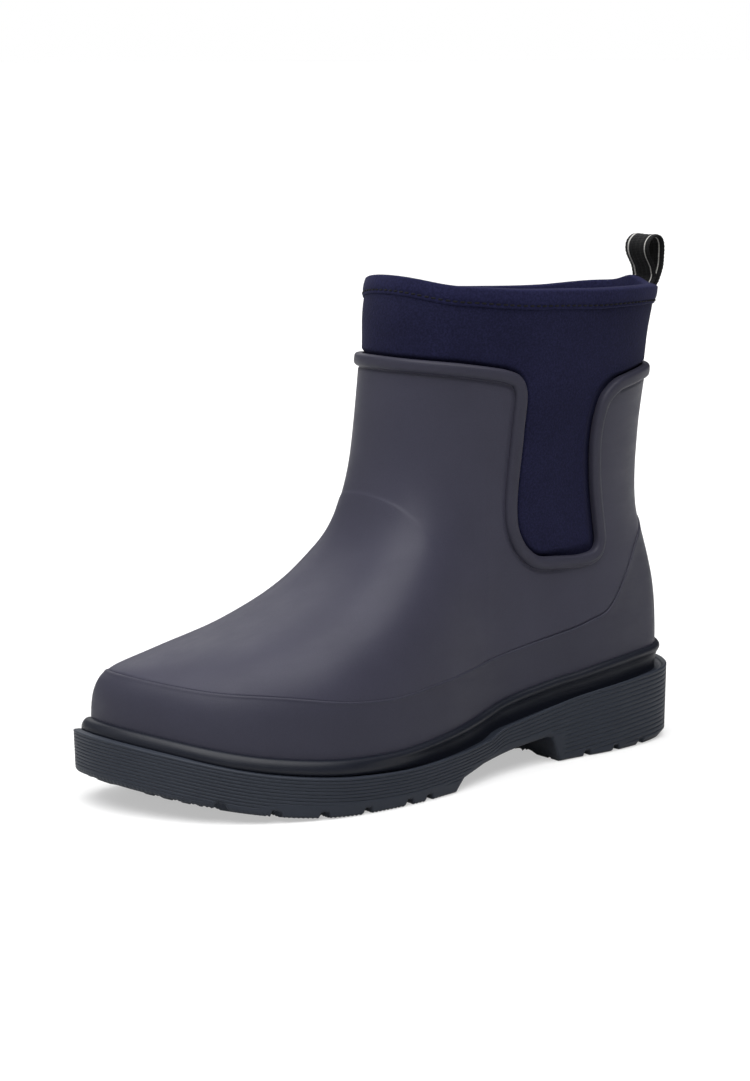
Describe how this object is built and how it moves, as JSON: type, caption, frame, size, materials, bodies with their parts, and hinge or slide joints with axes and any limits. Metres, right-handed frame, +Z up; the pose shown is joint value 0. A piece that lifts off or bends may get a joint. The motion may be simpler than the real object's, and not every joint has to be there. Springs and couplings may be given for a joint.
{
  "type": "ankle boot",
  "caption": "Left rubber ankle boot with neoprene collar, side windows, lugged sole, heel block, pull loop and lift-out footbed.",
  "frame": {"origin": "ground contact plane, middle of the boot's overall box", "axes": "+Z up, -Y towards the toe, +Y towards the heel, +X towards the outer side of the left foot"},
  "size_m": [0.1086, 0.288, 0.2239],
  "materials": {
    "rubber_slate": "satin matte",
    "rubber_guard": "satin matte",
    "rubber_binding": "satin",
    "rubber_welt": "glossy",
    "rubber_sole": "satin",
    "neoprene_navy": "fine knit face",
    "hem_navy": "fine knit face",
    "lining_knit": "knit",
    "thread_dark": "twisted thread",
    "webbing_black": "woven",
    "foam_grey": "foam",
    "footbed_foam": "foam",
    "cover_cloth": "woven",
    "board_fibre": "fibre board",
    "stiffener_sheet": "non-woven sheet",
    "shank_steel": "plain"
  },
  "bodies": {
    "boot": {"outsole": "rubber_sole", "forefoot_filler": "foam_grey", "heel_core": "foam_grey", "shank": "shank_steel", "insole_board": "board_fibre", "welt": "rubber_welt", "vamp": "rubber_slate", "leg": "rubber_slate", "guard": "rubber_guard", "shaft_binding": "rubber_binding", "toe_puff": "stiffener_sheet", "heel_stiffener": "stiffener_sheet", "foot_lining": "lining_knit", "neoprene_collar": "neoprene_navy", "collar_hem": "hem_navy", "hem_thread": "thread_dark", "loop_tab_outer": "webbing_black", "loop_tab_inner": "webbing_black"},
    "footbed": {"footbed": "footbed_foam", "footbed_cover": "cover_cloth"},
    "pull_loop": {"pull_loop": "webbing_black"}
  },
  "joints": [
    {"name": "pull_loop_fold", "type": "hinge", "parent": "boot", "child": "pull_loop", "pos_m": [-0.0012, 0.1396, 0.20501], "axis": [1, 0, 0], "range_deg": [-75, 55], "stiffness_Nm_per_rad": 0.004},
    {"name": "footbed_lift", "type": "hinge", "parent": "boot", "child": "footbed", "pos_m": [0, -0.1292, 0.02983], "axis": [1, 0, 0], "range_deg": [0, 8]}
  ]
}
